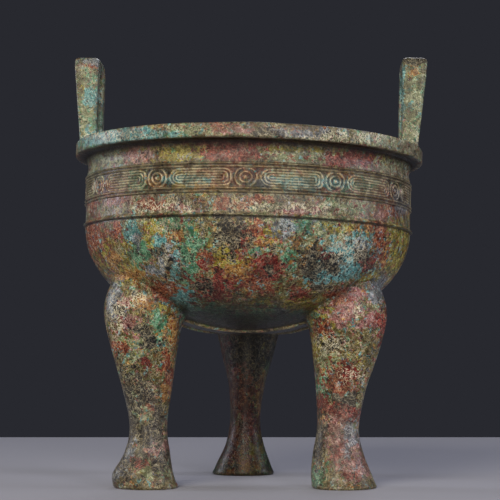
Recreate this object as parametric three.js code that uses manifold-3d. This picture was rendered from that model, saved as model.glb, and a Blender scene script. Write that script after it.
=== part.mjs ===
// Three-legged bronze ding vessel with two upright ears, cast in one piece.
// Millimetres, +Z up, standing on three flat feet. The viewer's side is -Y and the ears are at +X and -X.
import * as THREE from 'three';
import { mergeVertices } from 'three/addons/utils/BufferGeometryUtils.js';
import Module from 'manifold-3d';

// Bowl, from the underside up
const WALL = 5.5;
const BOWL_RADIUS = 97.4;
const BOWL_BOTTOM = 87.6;
const BOWL_SHOULDER = 149.4;
const MOUTH_RADIUS = 90;
const CORD_OUT = 1.3;
const CORD_HEIGHT = 2.4;
const CORD_CREST = [0.2, 0.7];
const STRING_LINES = { low: 162.6, high: 176.1, pitch: 1.9, out: 0.8, halfWidth: 0.65 };
const NECK_RADIUS = 96.3;
const NECK_HEIGHT = 184;
const LIP_RADIUS = 104.2;
const LIP_TOP = 199.4;
const LIP_HEIGHT = 8.8;
const LIP_ROUND = 1.2;
const BOWL_SIDES = 48;
const OUTSIDE_STEPS = 9;
const INSIDE_STEPS = 5;

// Frieze: twelve long loops and twelve small ones in turn, lying round the bowl between the string lines
const REPEATS = 12;
const FRIEZE_PHASE = -0.7;
const FRIEZE_MIDDLE = 170.3;
const RELIEF = 0.7;
const RELIEF_ROOT = 0.9;
const LINE_WIDTH = 1;
const LOOP_SQUARENESS = 0.42;
const LONG_LOOP = { halfLength: 17, halfHeight: 4.6, at: 15, points: 12 };
const LONG_BAR = { halfLength: 13.4, halfHeight: 1.7, at: 15, points: 8 };
const SMALL_LOOP = { halfLength: 5.8, halfHeight: 4.6, at: 0, points: 8 };
const SMALL_BOSS = { halfLength: 2.3, halfHeight: 2.3, at: 0, points: 6 };

// Legs: sections from the sole to the top, by height, half widths along and across the radius, and reach
const SOLE = { height: 0, along: 19.4, across: 20.2 };
const HOOF = { height: 8, along: 18.7, across: 17.1, reach: 64.6 };
const PASTERN = { height: 20, along: 15.1, across: 12.9, reach: 62.4 };
const ANKLE = { height: 35, along: 12.7, across: 10.4, reach: 62.2 };
const CALF = { height: 57, along: 16.3, across: 12, reach: 63.5 };
const KNEE = { height: 79, along: 21, across: 17.6, reach: 65.9 };
const HAUNCH = { height: 99, along: 24.6, across: 21.8, reach: 66.6 };
const SHOULDER = { height: 113, along: 22.3, across: 20.7, reach: 65.7 };
const LEG_TOP = { height: 121, along: 17.3, across: 16.1, reach: 64.7 };
const LEG_SIDES = 14;
const LEG_RINGS = 12;
const LEG_INNER_FLATNESS = 0.9;

// Each leg was shaped by hand, so they differ a little in the place of the sole and the girth of the ankle
const LEGS = [
  { bearing: -150, soleReach: 62.4, soleAside: 0, ankleGirth: 0.94 },
  { bearing: -30, soleReach: 66.9, soleAside: 0, ankleGirth: 1.05 },
  { bearing: 88.7, soleReach: 65, soleAside: 1.2, ankleGirth: 0.95 },
];

// Ears: upright loops standing on the lip, a little askew, the one at +X taller
const EARS = [
  { side: -1, top: 252.8 },
  { side: 1, top: 255.5 },
];
const EAR_TURN = -1.9;
const EAR_INNER_FACE = 90.4;
const EAR_THICK_FOOT = 10.4;
const EAR_THICK_TOP = 16;
const EAR_WIDTH = 34;
const EAR_ROOT = 193;
const EAR_BAND_TOP = 10.8;
const EAR_LIMB = 9.6;
const EAR_CORNER = 7;
const EAR_SOFTENING = 1.1;
const EAR_CURVE_STEPS = 3;

// Mould seams under the bowl, from leg to leg
const SEAM_MIDDLE = 24;
const SEAM_END = 34;
const SEAM_HALF_SPAN = 42;
const SEAM_OUT = 1.5;
const SEAM_WIDTH = 2.4;
const SEAM_STEPS = 8;
const SEAM_TURNS = [0, 120, 240];

// The bowl leans to +X over level feet: fully above the leg tops, fading to nothing at the soles
const LEAN = 1.22;
const LEAN_FULL_HEIGHT = 120;

// Points closer than this are one point
const SAME_POINT = 1e-4;

const wasm = await Module();
wasm.setup();

// A closed three.js geometry as a solid that can be joined and cut
function toSolid(geometry) {
  geometry.deleteAttribute('normal');
  geometry.deleteAttribute('uv');
  const merged = mergeVertices(geometry, SAME_POINT);
  const corners = merged.index.array;
  const kept = [];
  for (let i = 0; i < corners.length; i += 3) {
    const [a, b, c] = [corners[i], corners[i + 1], corners[i + 2]];
    if (a !== b && b !== c && c !== a) kept.push(a, b, c);
  }
  const vertProperties = new Float32Array(merged.attributes.position.array);
  const triVerts = new Uint32Array(kept);
  return new wasm.Manifold(new wasm.Mesh({ numProp: 3, vertProperties, triVerts }));
}

// Moves every vertex of a geometry by a function from one point to another
function reshape(geometry, move) {
  const position = geometry.attributes.position;
  const point = new THREE.Vector3();
  for (let i = 0; i < position.count; i += 1) {
    point.fromBufferAttribute(position, i);
    move(point);
    position.setXYZ(i, point.x, point.y, point.z);
  }
  return geometry;
}

// Points of a quarter ellipse below the shoulder, from the axis out to the rim
function roundBottom(radius, depth, steps) {
  const points = [];
  for (let i = 0; i <= steps; i += 1) {
    const angle = (i / steps) * (Math.PI / 2);
    points.push(new THREE.Vector2(radius * Math.sin(angle), BOWL_SHOULDER - depth * Math.cos(angle)));
  }
  return points;
}

// A pair of raised string lines, as three valleys with two crests between them
function stringLinePair(height) {
  const { pitch, out, halfWidth } = STRING_LINES;
  const points = [new THREE.Vector2(BOWL_RADIUS, height - halfWidth)];
  for (const crest of [height, height + pitch]) {
    points.push(new THREE.Vector2(BOWL_RADIUS + out, crest));
    points.push(new THREE.Vector2(BOWL_RADIUS, crest + halfWidth));
  }
  return points;
}

// The outside of the bowl turned from its section and filled: underside, cord, string lines, neck and lip
function filledBowl() {
  const cord = CORD_CREST.map(
    (share) => new THREE.Vector2(BOWL_RADIUS + CORD_OUT, BOWL_SHOULDER + share * CORD_HEIGHT),
  );
  cord.push(new THREE.Vector2(BOWL_RADIUS, BOWL_SHOULDER + CORD_HEIGHT));
  const lipFoot = LIP_TOP - LIP_HEIGHT;
  const neckAndLip = [
    new THREE.Vector2(NECK_RADIUS, NECK_HEIGHT),
    new THREE.Vector2(NECK_RADIUS + LIP_ROUND, lipFoot - 2 * LIP_ROUND),
    new THREE.Vector2(LIP_RADIUS - LIP_ROUND, lipFoot),
    new THREE.Vector2(LIP_RADIUS, lipFoot + LIP_ROUND),
    new THREE.Vector2(LIP_RADIUS, LIP_TOP - LIP_ROUND),
    new THREE.Vector2(LIP_RADIUS - LIP_ROUND, LIP_TOP),
    new THREE.Vector2(0, LIP_TOP),
  ];
  const section = [
    ...roundBottom(BOWL_RADIUS, BOWL_SHOULDER - BOWL_BOTTOM, OUTSIDE_STEPS),
    ...cord,
    ...stringLinePair(STRING_LINES.low),
    ...stringLinePair(STRING_LINES.high),
    ...neckAndLip,
  ];
  return toSolid(new THREE.LatheGeometry(section, BOWL_SIDES).rotateX(Math.PI / 2));
}

// The hollow of the bowl, open at the mouth
function hollow() {
  const section = [
    ...roundBottom(BOWL_RADIUS - WALL, BOWL_SHOULDER - BOWL_BOTTOM - WALL, INSIDE_STEPS),
    new THREE.Vector2(MOUTH_RADIUS, LIP_TOP - LIP_ROUND),
    new THREE.Vector2(MOUTH_RADIUS + 2 * LIP_ROUND, LIP_TOP + LIP_ROUND),
    new THREE.Vector2(0, LIP_TOP + LIP_ROUND),
  ];
  return toSolid(new THREE.LatheGeometry(section, BOWL_SIDES).rotateX(Math.PI / 2));
}

// Points of a rounded rectangle, from the superellipse formula
function roundedOutline(halfLength, halfHeight, count) {
  const points = [];
  for (let i = 0; i < count; i += 1) {
    const angle = (i / count) * 2 * Math.PI;
    const x = halfLength * Math.sign(Math.cos(angle)) * Math.abs(Math.cos(angle)) ** LOOP_SQUARENESS;
    const y = halfHeight * Math.sign(Math.sin(angle)) * Math.abs(Math.sin(angle)) ** LOOP_SQUARENESS;
    points.push(new THREE.Vector2(x, y));
  }
  return points;
}

// A low relief figure laid round the bowl wall, bearing in degrees from the viewer's side
function reliefOnWall(shape, bearing) {
  const flat = new THREE.ExtrudeGeometry(shape, { depth: RELIEF_ROOT + RELIEF, bevelEnabled: false });
  const bent = reshape(flat, (point) => {
    const radius = BOWL_RADIUS - RELIEF_ROOT + point.z;
    const angle = THREE.MathUtils.degToRad(bearing) + point.x / BOWL_RADIUS;
    point.set(radius * Math.sin(angle), -radius * Math.cos(angle), FRIEZE_MIDDLE + point.y);
  });
  return toSolid(bent);
}

// A closed loop of one line width
function loopShape({ halfLength, halfHeight, points }) {
  const shape = new THREE.Shape(roundedOutline(halfLength, halfHeight, points));
  const inner = roundedOutline(halfLength - LINE_WIDTH, halfHeight - LINE_WIDTH, points);
  shape.holes.push(new THREE.Path(inner.reverse()));
  return shape;
}

// A filled bar or boss
function barShape({ halfLength, halfHeight, points }) {
  return new THREE.Shape(roundedOutline(halfLength, halfHeight, points));
}

// All the figures of the frieze
function frieze() {
  const figures = [];
  for (let i = 0; i < REPEATS; i += 1) {
    const start = FRIEZE_PHASE + (i * 360) / REPEATS;
    figures.push(reliefOnWall(loopShape(LONG_LOOP), start + LONG_LOOP.at));
    figures.push(reliefOnWall(barShape(LONG_BAR), start + LONG_BAR.at));
    figures.push(reliefOnWall(loopShape(SMALL_LOOP), start + SMALL_LOOP.at));
    figures.push(reliefOnWall(barShape(SMALL_BOSS), start + SMALL_BOSS.at));
  }
  return figures;
}

// A leg: a drum whose rings follow the sections from sole to top, with the side towards the axis flatter
function leg({ bearing, soleReach, soleAside, ankleGirth }) {
  const above = (station) => ({ ...station, aside: 0 });
  const thinned = (station) => ({
    ...station,
    along: station.along * ankleGirth,
    across: station.across * ankleGirth,
    aside: soleAside / 2,
  });
  const stations = [
    { ...SOLE, reach: soleReach, aside: soleAside },
    { ...HOOF, aside: soleAside },
    thinned(PASTERN),
    thinned(ANKLE),
    above(CALF),
    above(KNEE),
    above(HAUNCH),
    above(SHOULDER),
    above(LEG_TOP),
  ];
  const widths = new THREE.SplineCurve(stations.map((s) => new THREE.Vector2(s.along, s.across)));
  const places = new THREE.CatmullRomCurve3(
    stations.map((s) => new THREE.Vector3(s.reach, s.aside, s.height)),
    false,
    'catmullrom',
  );
  const drum = new THREE.CylinderGeometry(1, 1, 1, LEG_SIDES, LEG_RINGS).rotateX(Math.PI / 2);
  const turn = THREE.MathUtils.degToRad(bearing);
  const shaped = reshape(drum, (point) => {
    const share = THREE.MathUtils.clamp(point.z + 0.5, 0, 1);
    const width = widths.getPoint(share);
    const place = places.getPoint(share);
    const flatness = point.x < 0 ? LEG_INNER_FLATNESS : 1;
    const radial = place.x + point.x * width.x * flatness;
    const sideways = place.y + point.y * width.y;
    point.set(
      radial * Math.cos(turn) - sideways * Math.sin(turn),
      radial * Math.sin(turn) + sideways * Math.cos(turn),
      place.z,
    );
  });
  return toSolid(shaped);
}

// Outline of an ear seen from its side, with its width along x and its height along y
function earShape(top) {
  const half = EAR_WIDTH / 2;
  const corner = EAR_CORNER;
  const outline = new THREE.Shape();
  outline.moveTo(-half, EAR_ROOT);
  outline.lineTo(half, EAR_ROOT);
  outline.lineTo(half, top - corner);
  outline.absarc(half - corner, top - corner, corner, 0, Math.PI / 2, false);
  outline.lineTo(corner - half, top);
  outline.absarc(corner - half, top - corner, corner, Math.PI / 2, Math.PI, false);
  outline.closePath();
  const holeHalf = half - EAR_LIMB;
  const holeTop = top - EAR_BAND_TOP;
  const hole = new THREE.Path();
  hole.moveTo(-holeHalf, LIP_TOP);
  hole.lineTo(-holeHalf, holeTop - holeHalf);
  hole.absarc(0, holeTop - holeHalf, holeHalf, Math.PI, 0, true);
  hole.lineTo(holeHalf, LIP_TOP);
  hole.closePath();
  outline.holes.push(hole);
  return outline;
}

// An ear: its inner face upright over the mouth, its outer face leaning out to a thicker top
function ear({ side, top }) {
  const edge = EAR_SOFTENING / EAR_THICK_FOOT;
  const slab = new THREE.ExtrudeGeometry(earShape(top), {
    depth: 1 - 2 * edge,
    curveSegments: EAR_CURVE_STEPS,
    bevelEnabled: true,
    bevelThickness: edge,
    bevelSize: EAR_SOFTENING,
    bevelOffset: -EAR_SOFTENING,
    bevelSegments: 1,
  });
  const placed = reshape(slab, (point) => {
    const rise = Math.max(0, (point.y - LIP_TOP) / (top - LIP_TOP));
    const thickness = THREE.MathUtils.lerp(EAR_THICK_FOOT, EAR_THICK_TOP, rise);
    point.set(EAR_INNER_FACE + (point.z + edge) * thickness, point.x, point.y);
  });
  return toSolid(placed).rotate([0, 0, EAR_TURN + (side > 0 ? 0 : 180)]);
}

// Height of the bowl's underside at a distance from its axis
function undersideHeight(radius) {
  const share = Math.min(radius / BOWL_RADIUS, 1);
  return BOWL_SHOULDER - (BOWL_SHOULDER - BOWL_BOTTOM) * Math.sqrt(1 - share * share);
}

// A mould seam: a thin ridge along the underside, bowed in towards the axis between two legs
function seam(turn) {
  const section = new THREE.Shape([
    new THREE.Vector2(-SEAM_WIDTH / 2, -SEAM_OUT),
    new THREE.Vector2(SEAM_WIDTH / 2, -SEAM_OUT),
    new THREE.Vector2(0, SEAM_OUT),
  ]);
  const bar = new THREE.ExtrudeGeometry(section, {
    depth: 2 * SEAM_HALF_SPAN,
    steps: SEAM_STEPS,
    bevelEnabled: false,
  });
  const laid = reshape(bar, (point) => {
    const x = point.z - SEAM_HALF_SPAN;
    const share = x / SEAM_HALF_SPAN;
    const y = -THREE.MathUtils.lerp(SEAM_MIDDLE, SEAM_END, share * share) - point.x;
    point.set(x, y, undersideHeight(Math.hypot(x, y)) - point.y);
  });
  return toSolid(laid).rotate([0, 0, turn]);
}

// Leans the bowl and ears to +X while the soles stay level
function lean(point) {
  const slope = Math.tan(THREE.MathUtils.degToRad(LEAN));
  const share = THREE.MathUtils.clamp(point.z / LEAN_FULL_HEIGHT, 0, 1);
  point.set(point.x + slope * point.z, point.y, point.z - slope * point.x * share);
}

// A finished solid as a three.js geometry
function toGeometry(solid) {
  const mesh = solid.getMesh();
  const geometry = new THREE.BufferGeometry();
  geometry.setAttribute('position', new THREE.BufferAttribute(new Float32Array(mesh.vertProperties), 3));
  geometry.setIndex(new THREE.BufferAttribute(new Uint32Array(mesh.triVerts), 1));
  return geometry;
}

// The whole casting: what the hollow of the bowl cuts comes first, then what stands on the outside
function casting() {
  let metal = filledBowl();
  for (const footing of LEGS) metal = metal.add(leg(footing));
  for (const turn of SEAM_TURNS) metal = metal.add(seam(turn));
  metal = metal.subtract(hollow());
  for (const loop of EARS) metal = metal.add(ear(loop));
  for (const figure of frieze()) metal = metal.add(figure);
  return metal;
}

const geometry = reshape(toGeometry(casting()), lean);
geometry.computeBoundingBox();
const centre = geometry.boundingBox.getCenter(new THREE.Vector3());
geometry.translate(-centre.x, -centre.y, 0);
geometry.computeVertexNormals();

const bronze = new THREE.MeshStandardMaterial({ color: 0x6f6a4c, roughness: 0.5, metalness: 0.6 });
const vessel = new THREE.Mesh(geometry, bronze);
vessel.name = 'ding_vessel';

const ding = new THREE.Group();
ding.add(vessel);

export default ding;
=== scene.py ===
# %% [markdown]
# A ding is a ritual cooking vessel: a round bowl on three hoofed legs, with two upright ears on its lip.
# The real one was cast in bronze in one piece, so the looks are one piece too, and it stands for the one
# solid of the frame. Everything is worked out in millimetres in the vessel's own upright frame, and the
# lean of the casting comes last, with the move to metres.

# %% Load the frame
import math
import bmesh
import bpy
import numpy as np
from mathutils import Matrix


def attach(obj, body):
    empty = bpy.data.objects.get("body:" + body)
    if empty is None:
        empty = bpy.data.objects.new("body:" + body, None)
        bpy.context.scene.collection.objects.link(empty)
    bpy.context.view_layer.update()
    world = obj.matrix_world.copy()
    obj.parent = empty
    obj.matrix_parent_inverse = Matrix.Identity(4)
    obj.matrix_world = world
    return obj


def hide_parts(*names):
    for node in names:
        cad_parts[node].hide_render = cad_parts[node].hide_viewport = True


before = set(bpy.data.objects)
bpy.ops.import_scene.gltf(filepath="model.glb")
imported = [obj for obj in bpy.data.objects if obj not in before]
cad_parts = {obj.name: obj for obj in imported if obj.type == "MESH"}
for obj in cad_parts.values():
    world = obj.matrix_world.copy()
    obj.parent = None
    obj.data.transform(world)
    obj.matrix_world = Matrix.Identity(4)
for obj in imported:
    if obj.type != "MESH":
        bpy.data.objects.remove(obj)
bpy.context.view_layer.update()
MM = 0.001

# %% [markdown]
# A surface here is a grid of points: rows along the piece and columns round it. One helper turns rings of
# any number of points into faces, and it closes the ends. Where two rings differ in their number of points,
# as between the fine frieze and the plain belly, the strip between them is zipped: each edge of one ring
# takes the nearest point of the other as its tip, in the order in which they come round.

# %% Rings into faces
def ring_strip(start_a, turns_a, start_b, turns_b):
    """Triangles between two closed rings, whose points lie at rising turns from 0 to 1."""
    count_a, count_b = len(turns_a), len(turns_b)
    i, j = np.arange(count_a), np.arange(count_b)
    middle_a = (turns_a + np.append(turns_a[1:], turns_a[0] + 1)) / 2
    middle_b = (turns_b + np.append(turns_b[1:], turns_b[0] + 1)) / 2
    tip_b = np.searchsorted(middle_b, middle_a, side="left") % count_b
    tip_a = np.searchsorted(middle_a, middle_b, side="right") % count_a
    from_a = np.stack([start_a + i, start_a + (i + 1) % count_a, start_b + tip_b], axis=1)
    from_b = np.stack([start_b + (j + 1) % count_b, start_b + j, start_a + tip_a], axis=1)
    return np.concatenate([from_a, from_b])


def closed_shell(rings, turns):
    """A closed skin through rings of points (n, 3), with a middle point at each end to close it."""
    starts = np.cumsum([0] + [len(ring) for ring in rings])
    strips = [
        ring_strip(starts[k], turns[k], starts[k + 1], turns[k + 1]) for k in range(len(rings) - 1)
    ]
    first, last = np.arange(len(rings[0])), starts[-2] + np.arange(len(rings[-1]))
    low, high = starts[-1], starts[-1] + 1
    strips.append(np.stack([np.roll(first, -1), first, np.full(len(first), low)], axis=1))
    strips.append(np.stack([last, np.roll(last, -1), np.full(len(last), high)], axis=1))
    ends = [rings[0].mean(axis=0), rings[-1].mean(axis=0)]
    return np.concatenate([*rings, ends]), np.concatenate(strips)


def even_turns(count):
    """Shares of a full turn, evenly spaced."""
    return np.arange(count) / count


def new_object(name, data):
    """A new object at the origin of the scene."""
    made = bpy.data.objects.new(name, data)
    bpy.context.scene.collection.objects.link(made)
    return made


def new_piece(name, points, faces):
    """A mesh object from points and triangles."""
    mesh = bpy.data.meshes.new(name)
    mesh.vertices.add(len(points))
    mesh.vertices.foreach_set("co", np.asarray(points, dtype=np.float32).ravel())
    mesh.loops.add(faces.size)
    mesh.loops.foreach_set("vertex_index", faces.ravel().astype(np.int32))
    mesh.polygons.add(len(faces))
    mesh.polygons.foreach_set("loop_start", np.arange(0, faces.size, 3, dtype=np.int32))
    mesh.update(calc_edges=True)
    return new_object(name, mesh)


# %% [markdown]
# Cast bronze is never quite even. A smooth noise gives it slow swells and small corrosion lumps: random
# values on a cubic lattice, blended between the eight corners of each cell.

# %% Smooth noise
def lumps(points, size, seed):
    """Noise from -1 to 1 at points, on a lattice of the given size, blended by a smooth step."""
    place = points / size + 512
    cell = np.floor(place).astype(np.int64)
    share = place - cell
    share = share * share * (3 - 2 * share)
    total = np.zeros(len(points))
    for corner in np.ndindex(2, 2, 2):
        key = (cell + corner) @ np.array([73856093, 19349663, 83492791]) + seed * 2654435761
        key = (key ^ (key >> 13)) * 1274126177
        value = ((key ^ (key >> 16)) & 0xFFFF) / 32767.5 - 1
        total += value * np.where(corner, share, 1 - share).prod(axis=1)
    return total


def smooth_step(low, high, value):
    """0 below low, 1 above high, and an S curve between them."""
    share = np.clip((value - low) / (high - low), 0, 1)
    return share * share * (3 - 2 * share)


# %% [markdown]
# The bowl is turned round its axis: a round bottom, a thin cord at the shoulder, a wall with pairs of raised
# string lines, a short neck and a thick flat lip. Each ridge is one term of the radius as a function of
# height, so its size and place can be read off and changed.

# %% Sizes of the bowl
WALL = 5.5
BOWL_RADIUS = 97.4
BOWL_BOTTOM = 87.6
SHOULDER = 149.4
BOWL_DEPTH = SHOULDER - BOWL_BOTTOM
CORD_OUT, CORD_HEIGHT, CORD_UNDERCUT = 1.5, 2.4, 0.16
WALL_HEIGHTS = [SHOULDER, 180.0, 184.0, 190.0]
WALL_RADII = [BOWL_RADIUS, BOWL_RADIUS, 96.3, 98.0]
LIP_RADIUS, LIP_TOP, LIP_HEIGHT, LIP_ROUND = 104.2, 199.4, 8.8, 1.4
LIP_FOOT = LIP_TOP - LIP_HEIGHT
MOUTH_RADIUS = 90.0
FRIEZE_MIDDLE = 170.3
LINE_PITCH = 1.47
ROW = LINE_PITCH / 4
STRING_ROWS = [-21, -16, 16, 21]
STRING_OUT, STRING_HALF = 0.85, 0.62
LOW_GROOVE_ROW, LOW_GROOVE_HALF, LOW_GROOVE_DEEP = -22.8, 0.5, 0.25
RELIEF, RELIEF_WEAR, WEAR_SIZE = 0.65, 0.2, 9


def ridge(height, middle, half, out):
    """A rounded ridge: half a cosine wave across twice its half width."""
    share = np.clip(np.abs(height - middle) / half, 0, 1)
    return out * (0.5 + 0.5 * np.cos(math.pi * share))


def wall_radius(height):
    """Radius of the outside above the shoulder: straight stretches, plus the cord, plus the string lines.

    The cord rises steeply over its undercut and falls back as one less the square of the height.
    """
    share = np.clip((height - SHOULDER) / CORD_HEIGHT, 0, 1)
    cord = CORD_OUT * np.minimum(share / CORD_UNDERCUT, 1) * (1 - share**2)
    radius = np.interp(height, WALL_HEIGHTS, WALL_RADII) + cord
    for row in STRING_ROWS:
        radius = radius + ridge(height, FRIEZE_MIDDLE + row * ROW, STRING_HALF, STRING_OUT)
    return radius - ridge(height, FRIEZE_MIDDLE + LOW_GROOVE_ROW * ROW, LOW_GROOVE_HALF, LOW_GROOVE_DEEP)


print("bowl", 2 * BOWL_RADIUS, "mm across and", round(BOWL_DEPTH, 1), "mm deep below the cord")


# %% [markdown]
# The frieze is a traditional one: twelve long figures of nested loops, each followed by a small one of rings
# round a boss. A number that grows by one from each loop to the next, like the contour number on a map, gives
# the whole figure in one formula: the relief is a wave of that number. The left ends are round and the right
# ends are squarer, as the hand that cut the mould left them.

# %% Relief of the frieze
REPEATS = 12
FIRST_BOSS = math.radians(-0.7)
LONG_AT = math.radians(15.05)
LONG_CORE = 11.7
END_PITCH = 1.85
LOOPS = 3
ROUND_END, SQUARE_END = 2.0, 3.6
BOSS_HALF, BOSS_OUT = 2.0, 1.25
SMALL_RINGS, RING_HALF = [3.3, 5.9], 0.95
SMALL_SQUASH, SMALL_REACH = 0.88, 6.9
FADE_FROM, FADE_TO = 3.1, 3.42


def frieze_relief(bearing, height):
    """The relief at bearings from the viewer's side: 0 in the grooves, 1 on the lines, more on a boss.

    A loop's number is its distance from the long figure's core in line pitches, with a power mean of the
    ways up and along at its ends. The relief is a cosine wave of the number, and of the distance from a
    boss for the small figures.
    """
    step = 2 * math.pi / REPEATS
    repeat = np.floor((bearing - FIRST_BOSS) / step + 0.5)
    along = (bearing - FIRST_BOSS - repeat * step) * BOWL_RADIUS
    up = height - FRIEZE_MIDDLE
    small = np.hypot(along, up / SMALL_SQUASH)
    rings = ridge(small, 0, BOSS_HALF, BOSS_OUT)
    for radius in SMALL_RINGS:
        rings = np.maximum(rings, ridge(small, radius, RING_HALF, 1))
    around = (bearing - FIRST_BOSS - LONG_AT) / step
    across = (around - np.floor(around + 0.5)) * step * BOWL_RADIUS
    level_up = np.abs(up) / LINE_PITCH
    beyond = np.clip((np.abs(across) - LONG_CORE) / END_PITCH, 0, None)
    power = np.where(across < 0, ROUND_END, SQUARE_END)
    level = (level_up**power + beyond**power) ** (1 / power)
    long_lines = np.where(level < LOOPS + 0.5, 0.5 + 0.5 * np.cos(2 * math.pi * level), 0)
    inside = smooth_step(FADE_TO * LINE_PITCH, FADE_FROM * LINE_PITCH, np.abs(up))
    return np.where(np.abs(along) < SMALL_REACH, rings, long_lines) * inside


print("frieze:", REPEATS, "repeats of", round(2 * math.pi * BOWL_RADIUS / REPEATS, 1), "mm")

# %% [markdown]
# The columns of the frieze crowd together where the loops turn and spread where the lines run straight, so
# that the fine carving costs few faces. Away from the frieze a plain even ring is enough.

# %% Columns and rows of the bowl
STRETCHES = [
    # from, to and number of columns, in mm along the wall
    (-6.6, 6.6, 29), (6.6, 8.0, 2), (8.0, 15.6, 17), (15.6, 35.2, 14), (35.2, 43.2, 17), (43.2, 44.4, 1),
]
PLAIN_COLUMNS = 288
BELLY_ROWS, HOLLOW_ROWS = 38, 22
SHOULDER_DROPS = [1.6, 1.1, 0.7, 0.35, 0]
CORD_RISES = [0.2, 0.4, 0.8, 1.2, 1.6, 2.0, 2.4, 3.2, 5.0, 7.0, 9.0, 10.8]
FRIEZE_ROWS = np.arange(-25, 26)
NECK_HEIGHTS = [181.2, 183.0, 184.6, 186.4]
LIP_CORNER = [
    # radius, and drop below the foot of the lip
    (wall_radius(188.0) + 0.4, 1.4), (98.6, 0.4), (100.2, 0),
]
LIP_FACE_SHARES = [0.32, 0.5, 0.68]
LIP_TOP_RADII = [101, 98.5, 96, 93.5, 60, 10]


def frieze_turns():
    """Turns of the frieze's columns, alike in all repeats, from the left edge of the first small figure."""
    places = np.concatenate([np.linspace(a, b, n, endpoint=False) for a, b, n in STRETCHES])
    shares = (places - places[0]) / (STRETCHES[-1][1] - STRETCHES[0][0])
    return np.concatenate([(shares + k) / REPEATS for k in range(REPEATS)])


def lathe_ring(turns, start, radius, height, with_relief=False):
    """A ring round the axis; the bearing 0 faces the viewer and grows towards +X."""
    bearing = start + turns * 2 * math.pi
    heights = np.full(len(turns), height)
    radii = np.full(len(turns), float(radius))
    if with_relief:
        there = np.stack([radii * np.sin(bearing), radii * np.cos(bearing), heights], axis=1)
        unworn = 1 - RELIEF_WEAR + RELIEF_WEAR * lumps(there, WEAR_SIZE, 5)
        radii = radii + RELIEF * unworn * frieze_relief(bearing, heights)
    return np.stack([radii * np.sin(bearing), -radii * np.cos(bearing), heights], axis=1)


def quarter_round(radius, depth, steps):
    """Radius and height of a quarter ellipse from near the axis out to the shoulder."""
    angle = np.linspace(0, math.pi / 2, steps + 1)[1:]
    return np.stack([radius * np.sin(angle), SHOULDER - depth * np.cos(angle)], axis=1)


def lip_section(steps=4):
    """Radius and height round the lip: a hollow corner, quarter circles at the two edges, a flat top."""
    under = [[radius, LIP_FOOT - drop] for radius, drop in LIP_CORNER]
    edge = LIP_RADIUS - LIP_ROUND
    low, high = (
        np.stack([edge + LIP_ROUND * np.cos(angle), middle + LIP_ROUND * np.sin(angle)], axis=1)
        for middle, angle in (
            (LIP_FOOT + LIP_ROUND, np.linspace(-math.pi / 2, 0, steps + 1)),
            (LIP_TOP - LIP_ROUND, np.linspace(0, math.pi / 2, steps + 1)),
        )
    )
    face = [[LIP_RADIUS, LIP_FOOT + LIP_HEIGHT * share] for share in LIP_FACE_SHARES]
    top = [[radius, LIP_TOP] for radius in LIP_TOP_RADII]
    return np.concatenate([under, low, face, high, top])


# %% [markdown]
# The outside could be one lathe profile with the frieze laid on by displacement, but then every row would
# need the frieze's many columns. So it is a stack of rings, from the bottom up to the lip: plain rings where
# nothing is carved, and finely divided ones only across the frieze.

# %% Outside of the bowl
plain = even_turns(PLAIN_COLUMNS)
fine = frieze_turns()
fine_start = FIRST_BOSS + STRETCHES[0][0] / BOWL_RADIUS
rings, turns = [], []


def add_ring(radius, height, in_frieze=False):
    """Adds a ring of the bowl's outside; the plain rings start at the same bearing as the fine ones."""
    columns = fine if in_frieze else plain
    rings.append(lathe_ring(columns, fine_start, radius, height, in_frieze))
    turns.append(columns)


for radius, height in quarter_round(BOWL_RADIUS, BOWL_DEPTH, BELLY_ROWS)[:-1]:
    add_ring(radius, height)
for drop in SHOULDER_DROPS:
    add_ring(BOWL_RADIUS * math.sqrt(1 - (drop / BOWL_DEPTH) ** 2), SHOULDER - drop)
for height in SHOULDER + np.array(CORD_RISES):
    add_ring(wall_radius(height), height)
for height in FRIEZE_MIDDLE + ROW * FRIEZE_ROWS:
    add_ring(wall_radius(height), height, in_frieze=True)
for height in NECK_HEIGHTS:
    add_ring(wall_radius(height), height)
for radius, height in lip_section():
    add_ring(radius, height)
outside = new_piece("bowl_outside", *closed_shell(rings, turns))
print("bowl outside:", len(outside.data.polygons), "faces")

# %% [markdown]
# The hollow is a second turned shape, cut out of the first, as the clay core leaves it in the mould. It comes
# after the legs are joined on, so that nothing of them is left inside.

# %% Hollow of the bowl
HOLLOW_SHARES = [0.25, 0.5, 0.75, 0.9, 0.97]
MOUTH_EDGE = [
    # out past the mouth's radius, and up from the top of the lip
    (0.3, -0.6), (1.0, -0.1), (2.4, 0.6),
]
hollow_rings = [
    lathe_ring(plain, 0, radius, height)
    for radius, height in quarter_round(BOWL_RADIUS - WALL, BOWL_DEPTH - WALL, HOLLOW_ROWS)
]
for share in HOLLOW_SHARES:
    radius = BOWL_RADIUS - WALL + (MOUTH_RADIUS - BOWL_RADIUS + WALL) * share
    hollow_rings.append(lathe_ring(plain, 0, radius, SHOULDER + share * (LIP_TOP - SHOULDER)))
for out, up in MOUTH_EDGE:
    hollow_rings.append(lathe_ring(plain, 0, MOUTH_RADIUS + out, LIP_TOP + up))
hollow = new_piece("bowl_hollow", *closed_shell(hollow_rings, [plain] * len(hollow_rings)))
print("hollow:", len(hollow.data.polygons), "faces")

# %% [markdown]
# Each leg was modelled by hand in wax: a full haunch against the bowl, a thin ankle and a flared hoof. A few
# sections, from the sole up, hold its half widths and how far it stands from the axis, and a smooth curve
# runs through them. Near the bowl the skin flares a little, as wax is smoothed into the corner.

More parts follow.
